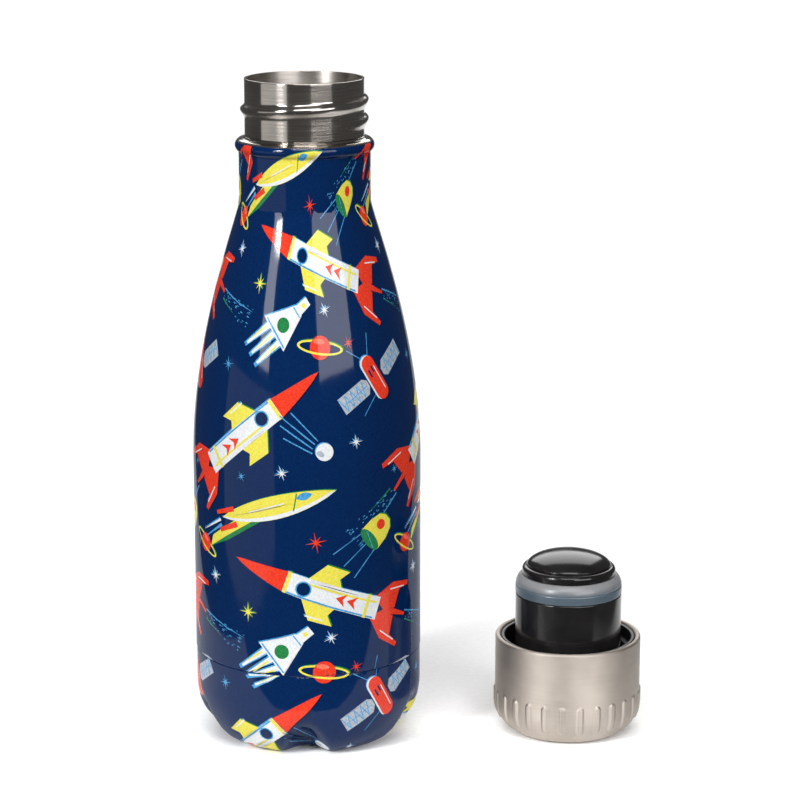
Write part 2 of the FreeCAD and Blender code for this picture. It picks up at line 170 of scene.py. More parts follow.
def capsule():
    """Stubby cone that rises towards +u on three tapering flames."""
    flames = []
    for side in (-3.0, 0.0, 3.0):
        flames.append(("sky", stroke(-4, side, -14, side * 1.15, 2.6, 1.2)))
        flames.append(("white", stroke(-4, side, -13, side * 1.1, 1.7, 0.7)))
        flames.append(("yellow", stroke(-5, side * 1.08, -11, side * 1.2, 0.6, 0.3)))
    cone = np.array([(-4, -5.8), (6.5, -1.7), (6.5, 1.7), (-4, 5.8)])
    return flames + [
        ("white", cone), ("white", stroke(6, 0, 10.6, 0, 3.0, 2.6)),
        ("yellow", ring_of(0.7, 0.7, 10) + (8.6, 0)),
        ("sky", stroke(-3.4, -5.2, -3.4, 5.2, 0.5)), ("sky", stroke(5.6, -1.8, 5.6, 1.8, 0.4)),
        ("green", ring_of(2.1, 2.1, 18)),
    ]


def planet(size):
    """Ball between the far and the near half of a flat ring."""
    outer, inner = ring_of(10, 2.7, 28), ring_of(8.9, 1.9, 28)
    front = np.concatenate([ring_of(10, 2.7, 15, math.pi, 2 * math.pi - 1e-6),
                            ring_of(8.9, 1.9, 15, math.pi, 2 * math.pi - 1e-6)[::-1]])
    ball = ring_of(4.4, 4.4, 26)
    shine = ring_of(2.6, 1.0, 12) + (-0.9, 2.2)
    return [("yellow", outer * size), ("navy", inner * size), ("red", ball * size),
            ("coral", shine * size), ("yellow", front * size)]


def satellite():
    """Round-ended hull across u, with a braced panel on each side and three aerials."""
    shapes = []
    for turn in (1, -1):
        panel = np.array([(3.2, -1.5), (4.6, -2.7), (14, -2.7), (14, 2.3), (4.6, 2.3), (3.2, 0.6)])
        shapes.append(("grey", panel * turn))
        shapes.append(("sky", stroke(4.2 * turn, -0.2 * turn, 13.6 * turn, -0.2 * turn, 0.25)))
        for step in range(4):
            x = 5 + 2.2 * step
            shapes.append(("sky", stroke(x * turn, -2.4 * turn, (x + 1.1) * turn, 2 * turn, 0.28)))
            shapes.append(("sky", stroke((x + 1.1) * turn, 2 * turn, (x + 2.2) * turn, -2.4 * turn, 0.28)))
    hull = np.concatenate([ring_of(2.3, 2.3, 9, 0, math.pi) + (0, 4.6),
                           ring_of(2.3, 2.3, 9, math.pi, 2 * math.pi) + (0, -4.6)])
    return shapes + [
        ("sky", stroke(0, 5, -4, 12, 0.22)), ("sky", stroke(0, 5, 5, 11.5, 0.22)),
        ("sky", stroke(-1, -3, -9.5, -6, 0.22)), ("white", hull + (-0.5, 0.4)), ("red", hull),
        ("navy", stroke(-0.9, 3.2, -0.9, 0.8, 0.6)), ("navy", stroke(0.5, 3.6, 0.5, 1.6, 0.6)),
        ("white", stroke(1.4, -4.6, 1.4, 3, 0.3)),
    ]


def probe():
    """Bell with its closed end towards +u, trailing three wires."""
    bell = np.array([(-3.5, 4.1), (0.5, 4.0), (3.6, 3.0), (4.9, 1.2),
                     (5.0, -1.2), (3.6, -3.0), (0.5, -4.0), (-3.5, -4.1)])
    wires = [("sky", stroke(-3.4, y, -14, 1.5 * y, 0.28)) for y in (-3.2, 0.0, 3.2)]
    return wires + [("yellow", bell), ("green", ring_of(1.7, 4.1, 18) + (-3.5, 0)),
                    ("sky", stroke(-4.4, -2.6, -2.6, 2.6, 0.25)), ("red", ring_of(1.5, 1.5, 14) + (1.9, 0.4))]


def comet():
    """Small pocked moon with four streaks that fan out behind it."""
    tails = [(-3.1, 1.9, -13.5, 5.2), (-3.4, 0.7, -16, 2.9), (-3.4, -0.7, -14.5, 0.6), (-2.9, -1.9, -12, -2.0)]
    streaks = [("sky", stroke(*tail, 0.34)) for tail in tails]
    return streaks + [("white", ring_of(2.5, 2.5, 18)), ("grey", ring_of(1.2, 0.8, 10) + (-0.8, -1.0))]


def burst(ink, size):
    """Eight-pointed spark: long and short points take turns about a small middle."""
    t = np.arange(16) * math.pi / 8
    reach = np.where(np.arange(16) % 2 == 1, 0.17, np.where(np.arange(16) % 4 == 0, 1.0, 0.68))
    points = np.stack([reach * np.cos(t), reach * np.sin(t)], -1) * size
    return [(ink, points), (ink, ring_of(0.24, 0.24, 8) * size)]


def spray(length, spread, flecks, seed):
    """Trail of small flecks that thins out away from the nozzle, with two long streaks."""
    rng = np.random.default_rng(seed)
    t = rng.random(flecks) ** 0.8
    side = (rng.random(flecks) - 0.5) * spread * (0.5 + t)
    long, wide = 0.35 + 0.75 * rng.random(flecks), 0.16 + 0.26 * rng.random(flecks)
    shapes = [("sky", stroke(0, -spread * 0.25, -length, -spread * 0.5, 0.45, 0.08)),
              ("green", stroke(-1, spread * 0.3, -length * 0.55, spread * 0.4, 0.5, 0.1))]
    for k in range(flecks):
        shapes.append(("sky", stroke(-length * t[k], side[k], -length * t[k] - long[k], side[k], wide[k], 0.08)))
    return shapes


# One repeat of the drawing is a third of the way round and 92 mm high. Each motif has its
# place, the turn of its nose from +u in degrees, and what it is.
REPEAT_U = FILM_WIDTH / 3
REPEAT_V = 92.0
MOTIFS = [
    (6, 49.5, 160, rocket()), (33, 39.5, 160, spray(17, 4.5, 46, 11)),
    (-17, 95, 39, rocket()), (-39.5, 77, 39, spray(19, 5.5, 60, 12)),
    (-12, 73.5, 16, jet()), (-6.5, 33, 38, capsule()),
    (5.5, 27, -8, planet(0.74)), (-34.1, 60.5, -30, planet(0.62)),
    (23.5, 17.5, 31, satellite()), (22, 66.5, 40, probe()), (6, 90.5, -28, comet()),
    (3.4, 64.8, 10, burst("red", 3.2)), (14.9, 27.8, 20, burst("red", 2.2)),
    (-16.6, 43.6, 0, burst("yellow", 3.0)),
    (-29, 52, 12, burst("white", 2.6)), (7.5, 37, 25, burst("white", 2.3)),
    (15.3, 92.6, 5, burst("white", 2.2)), (-6, 84.5, 18, burst("white", 2.3)),
    (-25.6, 21, 8, burst("sky", 2.4)), (-18.3, 82.5, 30, burst("sky", 1.7)),
    (28.5, 83, 15, burst("sky", 1.6)),
]

# The colour plates never register exactly: each of these inks has another one peeping out
# from under it, on one side.
PLATE_SLIP = {"yellow": ("green", 0.32, 0.30), "red": ("dark", 0.34, -0.28), "white": ("sky", -0.26, 0.32)}
INKS = ("navy", "red", "yellow", "white", "green", "sky", "grey", "dark", "coral")


def film_drawing():
    """Every outline on the film, in painter's order, with the repeats laid round and up."""
    drawing = []
    for u, v, turn, shapes in MOTIFS:
        a = math.radians(turn)
        spin = np.array([(math.cos(a), math.sin(a)), (-math.sin(a), math.cos(a))])
        placed = [(ink, outline @ spin + (u, v)) for ink, outline in shapes]
        slips = [(PLATE_SLIP[ink][0], outline + PLATE_SLIP[ink][1:]) for ink, outline in placed
                 if ink in PLATE_SLIP and len(outline) < 60]
        for across in range(-2, 3):
            for up in (-1, 0, 1):
                step = (across * REPEAT_U, up * REPEAT_V)
                drawing += [(ink, outline + step) for ink, outline in slips + placed]
    return drawing


def cut_film(low, high, rows, drawing):
    """Delaunay mesh of the unrolled strip between two heights, with the drawing's outlines as
    its edges; each triangle takes the ink of the last outline that holds its middle."""
    half = FILM_WIDTH / 2
    kept = [(ink, outline) for ink, outline in drawing
            if outline[:, 1].max() > low + 0.1 and outline[:, 1].min() < high - 0.1
            and outline[:, 0].max() > -half and outline[:, 0].min() < half]
    kept = [(ink, np.stack([o[:, 0], np.clip(o[:, 1], low + 0.06, high - 0.06)], -1)) for ink, o in kept]
    columns = np.linspace(-half, half, PRINT_COLUMNS + 1)
    lattice = np.stack(np.meshgrid(columns, rows), -1).reshape(-1, 2)
    wide = len(columns)
    index = np.arange(len(lattice)).reshape(len(rows), wide)
    fence = [index[0], index[-1], index[:, 0], index[:, -1]]
    edges = [np.stack([line[:-1], line[1:]], -1) for line in fence]
    points, start = [lattice], len(lattice)
    for ink, outline in kept:
        loop = np.arange(len(outline)) + start
        edges.append(np.stack([loop, np.roll(loop, -1)], -1))
        points.append(outline)
        start += len(outline)
    flat = [Vector(p) for p in np.concatenate(points).tolist()]
    result = delaunay_2d_cdt(flat, np.concatenate(edges).tolist(), [], 0, 1e-4, False)
    uv = np.round([tuple(p) for p in result[0]], 4)
    tris = np.array(result[2])
    middle = uv[tris].mean(1)
    tris = tris[np.abs(middle[:, 0]) < half]
    middle = uv[tris].mean(1)
    order = np.argsort(middle[:, 0])
    tris, middle = tris[order], middle[order]
    ink_of = np.zeros(len(tris), int)
    for ink, outline in kept:
        lo, hi = outline.min(0), outline.max(0)
        a, b = np.searchsorted(middle[:, 0], (lo[0], hi[0]))
        near = np.arange(a, b)
        near = near[(middle[near, 1] > lo[1]) & (middle[near, 1] < hi[1])]
        p, q, x = outline, np.roll(outline, -1, 0), middle[near]
        crosses = (p[:, 1] > x[:, None, 1]) != (q[:, 1] > x[:, None, 1])
        rise = np.where(p[:, 1] == q[:, 1], 1, q[:, 1] - p[:, 1])
        cut = p[:, 0] + (x[:, None, 1] - p[:, 1]) / rise * (q[:, 0] - p[:, 0])
        inside = (crosses & (x[:, None, 0] < cut)).sum(1) % 2 == 1
        ink_of[near[inside]] = INKS.index(ink)
    return uv, tris, ink_of


def face_normals(uv, skin):
    """Unit normal of a skin function, from its slopes along u and v."""
    step = 0.02
    du = skin(uv[:, 0] + step, uv[:, 1]) - skin(uv[:, 0] - step, uv[:, 1])
    dv = skin(uv[:, 0], uv[:, 1] + step) - skin(uv[:, 0], uv[:, 1] - step)
    n = np.cross(du, dv)
    return n / np.maximum(np.linalg.norm(n, axis=1, keepdims=True), 1e-12)


def lattice_tris(rows, columns, closed=False):
    """Two triangles for each cell of a grid whose columns run right round."""
    rise = rows if closed else rows - 1
    i, j = np.meshgrid(np.arange(rise), np.arange(columns), indexing="ij")
    a, b = i * columns + j, i * columns + (j + 1) % columns
    c, d = ((i + 1) % rows) * columns + (j + 1) % columns, ((i + 1) % rows) * columns + j
    return np.concatenate([np.stack([a, b, c], -1).reshape(-1, 3), np.stack([a, c, d], -1).reshape(-1, 3)])


def sew(low_u, low, high_u, high):
    """Triangles between two rings of unevenly spaced points, each listed once round from -u to
    +u with its end repeated; the ring whose next point comes first moves on."""
    i, j, made = 0, 0, []
    while i < len(low) - 1 or j < len(high) - 1:
        if j == len(high) - 1 or (i < len(low) - 1 and low_u[i + 1] <= high_u[j + 1]):
            made.append((low[i], low[i + 1], high[j]))
            i += 1
        else:
            made.append((low[i], high[j + 1], high[j]))
            j += 1
    return np.array(made)


def lap_back(uv, low, high, lap):
    """Faces of the grid that leads from the skin's upper edge back to its lower one, sewn to
    both of them."""
    ring = np.append(np.arange(PRINT_COLUMNS), 0) + len(uv)
    ring_u = np.linspace(-FILM_WIDTH / 2, FILM_WIDTH / 2, PRINT_COLUMNS + 1)
    made = [lattice_tris(len(lap), PRINT_COLUMNS) + len(uv)]
    for v, above in ((high, False), (low, True)):
        edge = np.flatnonzero(np.abs(uv[:, 1] - v) < 1e-3)
        edge = edge[np.argsort(uv[edge, 0])]
        if above:
            made.append(sew(ring_u, ring + (len(lap) - 1) * PRINT_COLUMNS, uv[edge, 0], edge))
        else:
            made.append(sew(uv[edge, 0], edge, ring_u, ring))
    return np.concatenate(made)


def lattice_normals(grid, closed=False):
    """Normal at each grid point: the cross product of the differences round and along."""
    across = np.roll(grid, -1, 1) - np.roll(grid, 1, 1)
    along = np.roll(grid, -1, 0) - np.roll(grid, 1, 0)
    if not closed:
        along[0], along[-1] = grid[1] - grid[0], grid[-1] - grid[-2]
    n = np.cross(across, along)
    length = np.linalg.norm(n, axis=-1, keepdims=True)
    return np.where(length > 1e-7, n / np.maximum(length, 1e-12), 0).reshape(-1, 3)


def new_piece(name, points, tris, normals, materials, slots=None):
    """Mesh object from millimetre points: doubles are merged, thin-air faces dropped, and the
    faces and normals turned outwards by the sign of the enclosed volume."""
    slots = np.zeros(len(tris), int) if slots is None else slots
    key = np.round(points * 100000).astype(np.int64)
    kept, first, back = np.unique(key, axis=0, return_index=True, return_inverse=True)
    points, normals, tris = points[first], normals[first], back.reshape(-1)[tris]
    whole = (tris[:, 0] != tris[:, 1]) & (tris[:, 1] != tris[:, 2]) & (tris[:, 2] != tris[:, 0])
    tris, slots = tris[whole], slots[whole]
    a, b, c = (points[tris[:, k]] for k in range(3))
    turn = np.cross(b - a, c - a)
    if (turn * a).sum() < 0:
        tris, turn = tris[:, ::-1], -turn
    if (normals[tris[:, 0]] * turn).sum() < 0:
        normals = -normals
    mesh = bpy.data.meshes.new(name)
    mesh.from_pydata((points / 1000).tolist(), [], tris.tolist())
    mesh.polygons.foreach_set("material_index", slots.astype(np.int32))
    mesh.polygons.foreach_set("use_smooth", np.ones(len(tris), bool))
    for material in materials:
        mesh.materials.append(material)
    mesh.normals_split_custom_set_from_vertices(normals.tolist())
    piece = bpy.data.objects.new(name, mesh)
    bpy.context.scene.collection.objects.link(piece)
    return piece


def linear(code):
    """sRGB hex to linear red, green, blue and a full alpha."""
    parts = [int(code[k:k + 2], 16) / 255 for k in (1, 3, 5)]
    return [p / 12.92 if p <= 0.04045 else ((p + 0.055) / 1.055) ** 2.4 for p in parts] + [1.0]


def add(tree, kind, inputs=None, **settings):
    """Adds one node; inputs are values or sockets by input name or number."""
    made = tree.nodes.new(kind)
    for name, value in settings.items():
        setattr(made, name, value)
    for name, value in (inputs or {}).items():
        if isinstance(value, bpy.types.NodeSocket):
            tree.links.new(value, made.inputs[name])
        else:
            made.inputs[name].default_value = value
    return made


def new_material(name, **surface):
    """Material with one Principled shader, its fixed numbers set on the shader's sockets."""
    material = bpy.data.materials.new(name)
    material.use_nodes = True
    shader = material.node_tree.nodes["Principled BSDF"]
    for label, value in surface.items():
        shader.inputs[label.replace("_", " ")].default_value = value
    return material, material.node_tree, shader


def object_noise(tree, scale, detail=2.0, stretch=(1, 1, 1)):
    """Noise on the piece's own coordinates, in metres; a larger stretch makes it finer that way."""
    place = add(tree, "ShaderNodeTexCoord")
    sized = add(tree, "ShaderNodeMapping", {"Vector": place.outputs["Object"], "Scale": stretch})
    return add(tree, "ShaderNodeTexNoise", {"Vector": sized.outputs["Vector"], "Scale": scale, "Detail": detail})


def two_tones(tree, factor, dark, light, low=0.35, high=0.65):
    """Colour that runs between two hex colours as a factor goes from low to high."""
    ramp = add(tree, "ShaderNodeValToRGB", {"Fac": factor})
    ramp.color_ramp.elements[0].position, ramp.color_ramp.elements[0].color = low, linear(dark)
    ramp.color_ramp.elements[1].position, ramp.color_ramp.elements[1].color = high, linear(light)
    return ramp.outputs["Color"]


def printed_lacquer(ink, dark, light):
    """Ink on sprayed navy under clear polyester lacquer. The ink is mottled by its 0.5 mm
    halftone; the lacquer is glass smooth, with a faint orange peel about 4 mm across."""
    material, tree, shader = new_material("printed_lacquer_" + ink, Roughness=0.42, Coat_Weight=0.42,
                                          Coat_Roughness=0.06, Coat_IOR=1.5, Specular_IOR_Level=0.0)
    mottle = object_noise(tree, 1 / 0.0005, 3.0)
    tree.links.new(two_tones(tree, mottle.outputs["Fac"], dark, light), shader.inputs["Base Color"])
    peel = object_noise(tree, 1 / 0.004, 1.0)
    bump = add(tree, "ShaderNodeBump", {"Height": peel.outputs["Fac"], "Strength": 0.12, "Distance": 0.00005})
    tree.links.new(bump.outputs["Normal"], shader.inputs["Coat Normal"])
    return material


INK_TONES = {"navy": ("#02193F", "#032047"), "red": ("#BA2A19", "#C83A25"), "yellow": ("#BAB137", "#C8BE50"),
             "white": ("#B4B8BC", "#C6C8C8"), "green": ("#186032", "#277241"), "sky": ("#256FA2", "#4F92BA"),
             "grey": ("#808994", "#9DA3AA"), "dark": ("#05081A", "#0C1430"), "coral": ("#C65341", "#D06E5A")}
PRINT = [printed_lacquer(ink, *INK_TONES[ink]) for ink in INKS]


def brushed_steel(name, dark, light, rough, skew, grain, lines=(1, 1, 1), depth=0.000004):
    """18/8 stainless steel. Belt lines, a few tenths of a millimetre apart, run round the piece:
    they smear light up and down it and show as streaks in tone, roughness and height."""
    material, tree, shader = new_material(name, Metallic=1.0, Anisotropic=skew, Anisotropic_Rotation=0.25)
    streak = object_noise(tree, 1 / grain, 4.0, lines)
    cloud = object_noise(tree, 1 / 0.012, 2.0)
    both = add(tree, "ShaderNodeMath", {0: streak.outputs["Fac"], 1: cloud.outputs["Fac"]}, operation="ADD")
    half = add(tree, "ShaderNodeMath", {0: both.outputs[0], 1: 0.5}, operation="MULTIPLY")
    tree.links.new(two_tones(tree, half.outputs[0], dark, light), shader.inputs["Base Color"])
    span = add(tree, "ShaderNodeMapRange", {"Value": streak.outputs["Fac"], "From Min": 0.3, "From Max": 0.7,
                                            "To Min": rough * 0.85, "To Max": rough * 1.2})
    tree.links.new(span.outputs[0], shader.inputs["Roughness"])
    round_it = add(tree, "ShaderNodeTangent", direction_type="RADIAL", axis="Z")
    tree.links.new(round_it.outputs["Tangent"], shader.inputs["Tangent"])
    bump = add(tree, "ShaderNodeBump", {"Height": streak.outputs["Fac"], "Strength": 0.5, "Distance": depth})
    tree.links.new(bump.outputs["Normal"], shader.inputs["Normal"])
    return material


BARE_STEEL = brushed_steel("polished_stainless_steel", "#A09A94", "#BDB7B0", 0.16, 0.9, 0.0016,
                           (0.15, 0.15, 6), 0.000001)

film = film_drawing()
shell_rows = np.concatenate([[SEAM_Z, SEAM_Z + 0.03, SEAM_Z + 0.1, SEAM_Z + 0.18, SEAM_Z + EDGE_ROUND],
                             np.arange(SEAM_Z + 2.5, SHOULDER_Z, 3.0),
                             np.linspace(SHOULDER_Z, COLLAR_Z, 40), np.linspace(COLLAR_Z + 2.5, BEAD_Z - 3.2, 4),
                             np.linspace(BEAD_Z - 2.4, PAINT_EDGE, 16)])
uv, tris, ink_of = cut_film(SEAM_Z, PAINT_EDGE, shell_rows, film)
skin_points, skin_normals = shell_skin(uv[:, 0], uv[:, 1]), face_normals(uv, shell_skin)
ball_top = BEAD_Z + BEAD_ROUND
over_z = np.concatenate([np.linspace(PAINT_EDGE, ball_top - 0.005, 9)[1:],
                         np.linspace(ball_top, ball_top + 0.74, 4)])
over_r = shell_radius(over_z)
under_z = np.concatenate([np.linspace(ball_top, BEAD_Z - 2, 8), np.linspace(COLLAR_Z, SHOULDER_Z, 24), [SEAM_Z]])
under_r = shell_radius(under_z, SHELL_WALL)
angles = np.linspace(-math.pi, math.pi, PRINT_COLUMNS, endpoint=False)
lap = np.stack([np.concatenate([over_r, under_r]), np.concatenate([over_z, under_z])], -1)
lap_grid = around(angles[None, :], lap[:, :1], lap[:, 1:])
lap_tris = lap_back(uv, SEAM_Z, PAINT_EDGE, lap_grid)
shell = new_piece("shell_printed", np.concatenate([skin_points, lap_grid.reshape(-1, 3)]),
                  np.concatenate([tris, lap_tris]), np.concatenate([skin_normals, lattice_normals(lap_grid)]),
                  PRINT + [BARE_STEEL], np.concatenate([ink_of, np.full(len(lap_tris), len(INKS))]))
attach(shell, "bottle")
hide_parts("outer_shell")


# ---- Base --------------------------------------------------------------------------------
# A pressed steel cup butt-welded to the shell, whose five lobes stiffen it and give it feet.
# Film and lacquer run down over it. The weld shows as a fine dark groove.

BASE_R = round(1000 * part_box("base_cup")[1].y, 2)
CORNER_W, CORNER_H = 11.0, 16.0
FOOT_R = BASE_R - CORNER_W
FOOT_W = 1.6
RECESS_R, RECESS_H = 11.0, 5.0
LOBES = 5
VALLEY_SLOPE = math.radians(42)
VALLEY_FLOOR = 3.3                # height of a valley's floor over the foot ring
VALLEY_SHARP = 5.2                # radius of a valley's round bottom
VALLEY_SOFT = 2.4                 # how softly it runs into the lobes


def base_meridian():
    """Half section from the seam down: straight, a quarter ellipse to the foot, an S-shaped
    rise to the flat middle. Gives the distance along it, the radius and the height."""
    k = 0.5523
    inner = FOOT_R - FOOT_W
    side = np.stack([np.full(160, BASE_R), np.linspace(SEAM_Z, CORNER_H, 160)], -1)
    corner = bezier((BASE_R, CORNER_H), (BASE_R, CORNER_H * (1 - k)), (FOOT_R + CORNER_W * k, 0), (FOOT_R, 0), 400)
    rise = bezier((inner, 0), (inner - 4.2, 0), (RECESS_R + 4.2, RECESS_H), (RECESS_R, RECESS_H), 200)
    line = np.concatenate([side, corner[1:], rise, [(0, RECESS_H)]])
    down = np.concatenate([[0], np.cumsum(np.linalg.norm(np.diff(line, axis=0), axis=1))])
    return down, line[:, 0], line[:, 1]


MERIDIAN = base_meridian()
BASE_LENGTH = MERIDIAN[0][-1]


def base_skin(u, v, inset=0.0):
    """The base's face: u round the film, v the seam's height less the way down the meridian.
    Five parabolic valleys, each along a line that climbs outwards, are let into it by a
    smooth maximum of the height over that line."""
    down = SEAM_Z - v
    r, z = np.interp(down, MERIDIAN[0], MERIDIAN[1]), np.interp(down, MERIDIAN[0], MERIDIAN[2])
    lip = np.clip(1 - down / EDGE_ROUND, 0, 0.999)
    r = r - EDGE_ROUND * (1 - np.sqrt(1 - lip ** 2)) * (inset == 0) - inset
    angle = 2 * math.pi * u / FILM_WIDTH
    sector = 2 * math.pi / LOBES
    off = (angle + sector / 2) % sector - sector / 2
    across, out = r * np.sin(off), r * np.cos(off) - FOOT_R
    up_r, up_z = -math.sin(VALLEY_SLOPE), math.cos(VALLEY_SLOPE)
    high = out * up_r + (z - VALLEY_FLOOR) * up_z
    floor = -across ** 2 / (2 * VALLEY_SHARP) - 0.35
    reach = np.clip((r - 9) / 8, 0, 1)
    blend = np.maximum(VALLEY_SOFT - np.abs(high - floor), 0) / VALLEY_SOFT
    lift = (np.maximum(high, floor) + blend ** 2 * VALLEY_SOFT / 4 - high) * reach
    lift = lift * np.clip(down / 4, 0, 1)
    r_new, z_new = r + lift * up_r, z + lift * up_z + inset * (z < CORNER_H)
    return around(angle, r_new, z_new)


base_rows = np.concatenate([np.linspace(SEAM_Z - BASE_LENGTH + 9, SEAM_Z - 37.5, 16),
                            np.linspace(SEAM_Z - 36.6, SEAM_Z - 8, 34), np.linspace(SEAM_Z - 6.5, SEAM_Z - 1.2, 3),
                            [SEAM_Z - EDGE_ROUND, SEAM_Z - 0.18, SEAM_Z - 0.1, SEAM_Z - 0.03, SEAM_Z]])
uv, tris, ink_of = cut_film(base_rows[0], SEAM_Z, base_rows, film)
skin_points, skin_normals = base_skin(uv[:, 0], uv[:, 1]), face_normals(uv, base_skin)
columns = np.linspace(-FILM_WIDTH / 2, FILM_WIDTH / 2, PRINT_COLUMNS, endpoint=False)
inner_v = np.linspace(SEAM_Z, SEAM_Z - BASE_LENGTH, 40)
middle_v = np.linspace(SEAM_Z - BASE_LENGTH, base_rows[0], 5)[:-1]
lap_grid = np.concatenate([base_skin(columns[None, :], inner_v[:, None], SHELL_WALL),
                           base_skin(columns[None, :], middle_v[:, None])])
lap_tris = lap_back(uv, base_rows[0], SEAM_Z, lap_grid)
base = new_piece("base_printed", np.concatenate([skin_points, lap_grid.reshape(-1, 3)]),
                 np.concatenate([tris, lap_tris]), np.concatenate([skin_normals, lattice_normals(lap_grid)]),
                 PRINT, np.concatenate([ink_of, np.zeros(len(lap_tris), int)]))
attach(base, "bottle")
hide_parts("base_cup")


# ---- Inner flask -------------------------------------------------------------------------
# The drawn 0.5 mm steel flask that holds the drink. Its neck stands out of the shell, with the
# screw thread rolled into it from inside, so that the bore has a groove behind the ridge. It
# is buffed bright outside and left as drawn within.

FLASK_R = 28.0
FLASK_WALL = 0.5
WELD_Z = 23.0
FLASK_SHOULDER_Z, THROAT_LOW_Z, THROAT_TOP_Z, SEAT_TOP_Z = 78.17, 150.17, 154.47, 159.03
THROAT_R = 14.7
THREAD_Z = RIM_Z - 12.1
THREAD_START = math.radians(30)   # counted from the front towards +X
THREAD_TURNS = 1.4
PITCH = 5.3
RIDGE_H = 1.2
RIDGE_ABOVE, RIDGE_BELOW = 1.5, 2.6   # how far its two flanks run out along the neck
RIM_ROUND = 0.24


def rolled_thread(angle, z, start, low, turns, pitch, above, below):
    """Height from 0 to 1 of a rounded ridge on a helix: half a raised cosine on either side,
    each of its own width, and fading over the last tenth of a turn at both ends."""
    height = 0 * angle + 0 * z
    for lap_number in range(2):
        along = ((angle - start) / (2 * math.pi)) % 1 + lap_number
        fade = np.clip(np.minimum(along, turns - along) / 0.1, 0, 1)
        off = z - low - pitch * along
        across = np.clip(np.where(off > 0, off / above, -off / below), 0, 1)
        bump = (0.5 + 0.5 * np.cos(math.pi * across)) ** 0.75
        height = np.maximum(height, bump * fade ** 2 * (3 - 2 * fade))
    return height


shoulder = bezier((FLASK_R, FLASK_SHOULDER_Z), (FLASK_R, FLASK_SHOULDER_Z + 36),
                  (THROAT_R, THROAT_LOW_Z - 9), (THROAT_R, THROAT_LOW_Z), 30)
neck_z = np.linspace(SEAT_TOP_Z + 0.6, RIM_Z - RIM_ROUND, 100)
outside = np.concatenate([[(FLASK_R, WELD_Z), (FLASK_R, 50)], shoulder,
                          [(THROAT_R, THROAT_TOP_Z - 0.2), (NECK_R, SEAT_TOP_Z)],
                          np.stack([np.full(100, NECK_R), neck_z], -1)])
turned = np.linspace(0, math.pi, 9)[1:-1]
lip = np.stack([NECK_R - FLASK_WALL / 2 + FLASK_WALL / 2 * np.cos(turned),
                RIM_Z - RIM_ROUND + RIM_ROUND * np.sin(turned)], -1)
inside = outside[::-1] - (FLASK_WALL, 0)
profile = np.concatenate([outside, lip, inside])
angles = np.linspace(-math.pi, math.pi, 180, endpoint=False)
pushed = RIDGE_H * rolled_thread(angles[None, :], profile[:, 1:], THREAD_START, THREAD_Z,
                                 THREAD_TURNS, PITCH, RIDGE_ABOVE, RIDGE_BELOW)
pushed[len(outside) + len(lip):] *= 0.7
grid = around(angles[None, :], profile[:, :1] + pushed, profile[:, 1:])
DRAWN_STEEL = brushed_steel("drawn_stainless_steel", "#8F8A85", "#B4AEA8", 0.38, 0.8, 0.0009, (0.2, 0.2, 5))
out_rows = (len(outside) + 4) * 180
tris = lattice_tris(len(grid), 180, True)
flask = new_piece("flask_drawn", grid.reshape(-1, 3), tris, lattice_normals(grid, True),
                  [BARE_STEEL, DRAWN_STEEL], (tris.min(1) >= out_rows).astype(int))
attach(flask, "bottle")
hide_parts("inner_flask")


# ---- Flask bottom ------------------------------------------------------------------------
# A dished steel disc welded to the flask's barrel. The getter hangs under it in the vacuum.

DISH_Z, DISH_CORNER = 14.0, 8.0
bend = np.linspace(0, math.pi / 2, 12)
outer_dish = np.stack([FLASK_R - DISH_CORNER + DISH_CORNER * np.sin(bend),
                       DISH_Z + DISH_CORNER - DISH_CORNER * np.cos(bend)], -1)
soft = DISH_CORNER - FLASK_WALL
inner_dish = np.stack([FLASK_R - DISH_CORNER + soft * np.sin(bend),
                       DISH_Z + DISH_CORNER - soft * np.cos(bend)], -1)
profile = np.concatenate([[(0, DISH_Z), (10, DISH_Z)], outer_dish,
                          [(FLASK_R, WELD_Z), (FLASK_R - FLASK_WALL, WELD_Z)],
                          inner_dish[::-1], [(10, DISH_Z + FLASK_WALL), (0, DISH_Z + FLASK_WALL)]])
angles = np.linspace(-math.pi, math.pi, 120, endpoint=False)
grid = around(angles[None, :], profile[:, :1], profile[:, 1:])
dish = new_piece("flask_dish", grid.reshape(-1, 3), lattice_tris(len(grid), 120),
                 lattice_normals(grid), [DRAWN_STEEL])
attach(dish, "bottle")
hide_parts("flask_bottom")


# ---- In the vacuum -----------------------------------------------------------------------
# Aluminium foil wrapped round the flask, a spring-steel clip with a sintered getter pill, and
# the bead of solder glass that closes the hole the air was drawn out through. The CAD pieces
# are kept; a steel cover glued into the recess hides the glass.

def plain_metal(name, dark, light, rough, grain, depth):
    """Bare metal with a fine random grain in tone and height; depth is in metres."""
    material, tree, shader = new_material(name, Metallic=1.0, Roughness=rough)
    speckle = object_noise(tree, 1 / grain, 3.0)
    tree.links.new(two_tones(tree, speckle.outputs["Fac"], dark, light), shader.inputs["Base Color"])
    bump = add(tree, "ShaderNodeBump", {"Height": speckle.outputs["Fac"], "Strength": 0.6, "Distance": depth})
    tree.links.new(bump.outputs["Normal"], shader.inputs["Normal"])
    return material


def dress(node, material):
    """Gives a CAD piece its material."""
    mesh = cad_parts[node].data
    mesh.materials.clear()
    mesh.materials.append(material)


